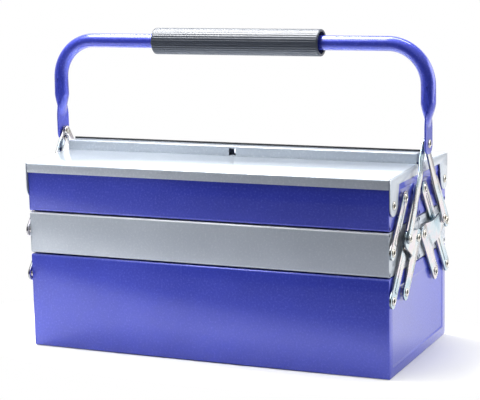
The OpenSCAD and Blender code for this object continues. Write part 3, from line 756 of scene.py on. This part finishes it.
# Rivets
def rivet(pivot, back, shoulder, head_z, half, end):
    """One rivet: tail at the back, shoulder, and a rolled head with a hollow centre."""
    rim = head_z + HEAD_H
    crown, ring = (HEAD_R + HOLLOW_R) / 2, (HEAD_R - HOLLOW_R) / 2
    roll = [(crown + ring * math.cos(math.radians(a)),
             rim - ROLL_H + ROLL_H * math.sin(math.radians(a))) for a in range(0, 181, 15)]
    hollow = [(HOLLOW_R - 0.1, rim - 1.1), (0.9, rim - 1.15), (0.0, rim - 1.0)]
    tail_r, tail_top = SHANK_R + TAIL_SPREAD, back + TAIL_H
    profile = [(0.0, back), (tail_r, back), (tail_r, tail_top), (SHANK_R, tail_top),
               (SHANK_R, shoulder[0]), (SHOULDER_R, shoulder[0]), (SHOULDER_R, shoulder[1]),
               (SHANK_R, shoulder[1]), (SHANK_R, head_z), (HEAD_R, head_z)] + roll + hollow
    bm = bmesh.new()
    row = [bm.verts.new((r, 0.0, z)) for r, z in profile]
    edges = [bm.edges.new(pair) for pair in zip(row, row[1:])]
    bmesh.ops.spin(bm, geom=row + edges, cent=(0, 0, 0), axis=(0, 0, 1), dvec=(0, 0, 0),
                   angle=2 * math.pi, steps=RIVET_STEPS, use_merge=True, use_duplicate=False)
    # The hollow's faces take the near-black: painted shade.
    for face in bm.faces:
        middle = face.calc_center_median()
        in_hollow = (math.hypot(middle.x, middle.y) < HOLLOW_R + 0.12
                     and rim - 1.3 < middle.z < rim - 0.3)
        face.material_index = 1 if in_hollow else 0
    shift(bm, (*pivot, 0))
    place_by(bm, end_matrix(half, end))
    return bm


def rivet_set(name, body, halves, places):
    """The rivets of one node: each place is (pivot, back, shoulder, head) at both ends."""
    made = [rivet(*place, half, end) for half in halves for end in ENDS.values()
            for place in places]
    finish_piece(name, joined(made), [RIVET, HOLLOW_SHADE], body, name, sharp=50.0)


def rivets():
    head = LINK_LAYER + PLATE + PLAY
    field_back = -FIELD_DEPTH - SHEET - TAIL_H
    edge_seat = (-SHEET - TAIL_H, (0.0, LINK_LAYER - PLAY), head)
    field_seat = (field_back, (-FIELD_DEPTH, LINK_LAYER - PLAY), head)
    lid_seat = (field_back, (0.0, FLANGE_GAP - PLAY), FLANGE_GAP + SHEET + PLAY)
    tie_seat = (ARM_LAYER - TAIL_H, (ARM_LAYER + PLATE, BAR_LOW - PLAY), BAR_LOW + PLATE + PLAY)
    handle_back = BAR_INNER - HEAD_H - PLAY
    handle_seat = (handle_back, (handle_back, BAR_INNER - PLAY), FLAT_LAYER + FLAT_T + PLAY)
    rivet_set("bottom_box_rivets", "bottom_box", (FRONT, REAR),
              [(LEVER[0], *edge_seat), (CRANK_FOOT, *field_seat)])
    for half_name, half in HALVES.items():
        rivet_set(f"{half_name}_middle_rivets", f"{half_name}_middle_tray", (half,),
                  [(UPPER_LINK[0], *edge_seat), (LEVER[1], *field_seat),
                   (CRANK_TOP, *field_seat)])
        rivet_set(f"{half_name}_top_rivets", f"{half_name}_top_tray", (half,),
                  [(LID_HINGE, *lid_seat), (LEVER[2], *field_seat),
                   (UPPER_LINK[1], *field_seat)])
        rivet_set(f"{half_name}_crank_rivets", f"{half_name}_cranks", (half,),
                  [(TIE, *tie_seat)])
    rivet_set("handle_rivets", "handle", (REAR,), [(HANDLE_PIVOT, *handle_seat)])


# Handle
def tube_ring(bm, x, radius, segments):
    """A ring round the handle's top run."""
    ring = bmesh.ops.create_circle(bm, cap_ends=False, segments=segments, radius=radius)["verts"]
    bmesh.ops.rotate(bm, verts=ring, cent=(0, 0, 0), matrix=Matrix.Rotation(math.pi / 2, 3, "Y"))
    bmesh.ops.translate(bm, vec=(x, 0, TUBE_Z), verts=ring)
    return ring


def squeeze(z):
    """Half width and bulge of the leg at height z: a round tube pressed flat towards its end."""
    t = min(1.0, max(0.0, (ROUND_Z - z) / (ROUND_Z - FLAT_TOP)))
    ease = t * t * (3 - 2 * t)
    return TUBE_R + (FLAT_W / 2 - TUBE_R) * ease, TUBE_R + (FLAT_T / 2 - TUBE_R) * ease


def flatten(v, tip):
    """Moves a point of the leg's round tube to the flattened leg, with a round end at its tip."""
    width, bulge = squeeze(v.co.z)
    x, wide = (v.co.x - LEG_X) / TUBE_R, width * (v.co.y / TUBE_R)
    crown = bulge * math.sqrt(1.0 - min(1.0, abs(wide) / CROWN_R) ** 2)
    thin = FLAT_T / 2 * min(1.0, abs(x) * 3.0)
    drop = max(0.0, (tip + TIP_ROUND) - v.co.z)
    cut = 1.0 - math.sqrt(max(0.0, 1.0 - (drop / TIP_ROUND) ** 2))
    v.co.y = wide * (1.0 - cut * TIP_ROUND / (FLAT_W / 2))
    v.co.x = LEG_X + math.copysign(max(thin, crown), x)


def handle_leg(end):
    """One half of the handle: top run, bend, leg and flattened end, as rings of the tube."""
    bm = bmesh.new()
    tube_ring(bm, 0, TUBE_R, 48)
    straight, bend_z = LEG_X - BEND_R, TUBE_Z - BEND_R
    tip = HANDLE_PIVOT[1] - TIP_DROP
    edges, verts = extrude(bm, bm.edges[:], (straight, 0, 0))
    spun = bmesh.ops.spin(bm, geom=verts + edges, cent=(straight, 0, bend_z), axis=(0, 1, 0),
                          dvec=(0, 0, 0), angle=math.pi / 2, steps=20,
                          use_duplicate=False)["geom_last"]
    edges = [g for g in spun if isinstance(g, bmesh.types.BMEdge)]
    blend_rings = math.ceil((ROUND_Z - FLAT_TOP) / RING_STEP)
    tip_rings = round(TIP_ROUND / RING_STEP)
    for drop in ([bend_z - ROUND_Z] + [RING_STEP] * blend_rings
                 + [FLAT_TOP - tip - TIP_ROUND] + [RING_STEP] * tip_rings):
        edges, verts = extrude(bm, edges, (0, 0, -drop))
    for v in bm.verts:
        if v.co.z <= ROUND_Z and v.co.x >= straight:
            flatten(v, tip)
    bmesh.ops.contextual_create(bm, geom=edges)
    if end == LEFT:
        bmesh.ops.scale(bm, vec=(-1, 1, 1), verts=bm.verts[:])
    return bm


def sleeve():
    """The ribbed grip: a hollow sleeve with open, rounded ends."""
    near, far = GRIP_X
    # Where each ring lies, its radius, and its share of the ribs' depth
    rings = [(near + 5.0, GRIP_BORE, 0.0), (near + 4.6, 12.0, 0.0), (near + 0.5, 12.2, 0.0),
             (near, GRIP_R - 0.9, 0.0), (near + 0.5, GRIP_R - 0.2, 0.0),
             (near + 1.4, GRIP_R, 0.1), (near + 2.6, GRIP_R, 0.6), (near + 4.0, GRIP_R, 1.0),
             (far - 4.0, GRIP_R, 1.0), (far - 2.6, GRIP_R, 0.6), (far - 1.4, GRIP_R, 0.1),
             (far - 0.5, GRIP_R - 0.2, 0.0), (far, GRIP_R - 0.9, 0.0), (far - 0.5, 12.2, 0.0),
             (far - 9.0, 12.0, 0.0), (far - 9.4, GRIP_BORE, 0.0)]
    bm = bmesh.new()
    loops = [tube_ring(bm, near + 5.0, GRIP_R, GRIP_RIBS * POINTS_PER_RIB)]
    edges = bm.edges[:]
    for _ in rings[1:]:
        edges, verts = extrude(bm, edges, (0, 0, 0))
        loops.append(verts)
    for (x, radius, share), loop in zip(rings, loops):
        for v in loop:
            angle = math.atan2(v.co.y, v.co.z - TUBE_Z)
            wave = 0.5 - 0.5 * math.cos(angle * GRIP_RIBS)
            r = radius - share * GROOVE_DEPTH * (1.0 - min(1.0, wave * 2.2))
            v.co = (x, r * math.sin(angle), TUBE_Z + r * math.cos(angle))
    return bm


def handle():
    tube = joined([handle_leg(RIGHT), handle_leg(LEFT)])
    finish_piece("handle_tube", tube, [BLUE], "handle", "handle_tube", sharp=48.0)
    finish_piece("handle_grip", sleeve(), [GRIP], "handle", "handle_grip", sharp=50.0)


# Floor, light and camera. Sizes from here on are in metres
def floor():
    """A pale floor, white to the camera away from the box, with the box's shadow near it."""
    bm = bmesh.new()
    bmesh.ops.create_grid(bm, x_segments=1, y_segments=1, size=1.0)
    bmesh.ops.scale(bm, vec=(1.6, 1.3, 1), verts=bm.verts[:])
    shift(bm, (0, 0.2, -0.0004))
    mesh = bpy.data.meshes.new("floor")
    bm.to_mesh(mesh)
    bm.free()
    ground = bpy.data.objects.new("floor", mesh)
    bpy.context.scene.collection.objects.link(ground)
    pale = Finish("pale_floor")
    x, y, _ = pale.axes(pale.place())
    camera_ray = pale.ray("Is Camera Ray")
    other_shine = pale.ray("Is Glossy Ray") + pale.ray("Is Transmission Ray")
    # An oval round the box, 1 at 0.4 m to its sides and at 0.2 m before and behind it
    oval = (x * x / 0.16 + y * y / 0.04) ** 0.5
    far = pale.smooth(oval, 0.50, 0.95)
    before = pale.smooth(y * -1.0 + x * 0.30, 0.16, 0.42)
    behind = pale.smooth(y + x * 0.5, 0.10, 0.24)
    # The camera sees the pale colour everywhere, other rays a darker one in front
    near = pale.mix(pale.smooth(y + camera_ray * 2.0, -0.15, 0.15), rgb(0.62, 0.62, 0.63),
                    rgb(0.93, 0.93, 0.94))
    seen = pale.mix(before * (1.0 - camera_ray), near, rgb(0.13, 0.13, 0.15))
    white = camera_ray * far + other_shine * behind
    lit = pale.node("ShaderNodeBsdfDiffuse", {}, {"Color": seen})
    glow = pale.node("ShaderNodeEmission", {}, {"Color": rgb(1, 1, 1), "Strength": 1.0})
    mixed = pale.node("ShaderNodeMixShader", {}, {0: white, 1: lit, 2: glow})
    pale.node("ShaderNodeOutputMaterial", {}, {"Surface": mixed})
    mesh.materials.append(pale.owner)


def room():
    """White to the camera, and a soft room to other rays: dark low in front, bright behind."""
    world = bpy.data.worlds.new("studio")
    bpy.context.scene.world = world
    walls = Finish("studio", world)
    x, y, z = walls.axes(walls.node("ShaderNodeTexCoord", output="Generated"))
    before = walls.smooth(y * -1.0, 0.05, 0.45)
    left = walls.smooth(x * -1.0 + y * 0.50, -0.04, 0.14)
    low = 1.0 - walls.smooth(z, 0.20, 0.60)
    dark = before * (1.0 - left * 0.35) * low
    behind = (walls.smooth(y, 0.25, 0.6) * (1.0 - walls.smooth(z, 0.35, 0.6))
              * walls.smooth(z, 0.0, 0.04))
    level = 0.44 - dark * 0.41 + behind * 0.8
    soft = walls.node("ShaderNodeBackground", {}, {
        "Color": rgb(0.97, 0.98, 1.0), "Strength": level})
    white = walls.node("ShaderNodeBackground", {}, {"Color": rgb(1, 1, 1), "Strength": 1.0})
    both = walls.node("ShaderNodeMixShader", {}, {
        0: walls.ray("Is Camera Ray"), 1: soft, 2: white})
    walls.node("ShaderNodeOutputWorld", {}, {"Surface": both})


def lamps():
    """Rectangular lamps with their place, size and power, all turned to the box."""
    target = Vector((0, 0, 0.12))
    for name, place, size, power in (
            ("overhead", (-0.50, 0.05, 1.50), (0.9, 0.7), 42.0),
            ("front", (-0.67, -0.65, 1.45), (1.0, 0.5), 7.5),
            ("rear", (0.0, 0.30, 1.60), (1.2, 0.4), 15.0),
            ("right", (1.50, 0.70, 0.62), (1.3, 1.0), 11.5)):
        lamp = bpy.data.lights.new(name, "AREA")
        lamp.shape = "RECTANGLE"
        lamp.energy, lamp.size, lamp.size_y = power, *size
        holder = bpy.data.objects.new(name, lamp)
        bpy.context.scene.collection.objects.link(holder)
        holder.location = place
        holder.rotation_euler = (target - Vector(place)).to_track_quat("-Z", "Y").to_euler()


def camera():
    yaw, pitch, roll = (math.radians(turn) for turn in (YAW, PITCH, ROLL))
    side = Vector((math.cos(yaw), math.sin(yaw), 0))
    ahead = Vector((-math.sin(yaw) * math.cos(pitch), math.cos(yaw) * math.cos(pitch),
                    -math.sin(pitch)))
    above = side.cross(ahead)
    right = side * math.cos(roll) + above * math.sin(roll)
    up = above * math.cos(roll) - side * math.sin(roll)
    data = bpy.data.cameras.new("camera")
    data.sensor_width, data.lens = 36.0, LENS
    holder = bpy.data.objects.new("camera", data)
    bpy.context.scene.collection.objects.link(holder)
    rows = zip(right, up, -ahead, CAMERA_PLACE)
    holder.matrix_world = Matrix((*rows, (0, 0, 0, 1)))
    bpy.context.scene.camera = holder


trays_and_panels()
lids()
linkage()
rivets()
handle()
edge_strip()
floor()
room()
lamps()
camera()
bpy.context.scene.view_settings.view_transform = "Standard"
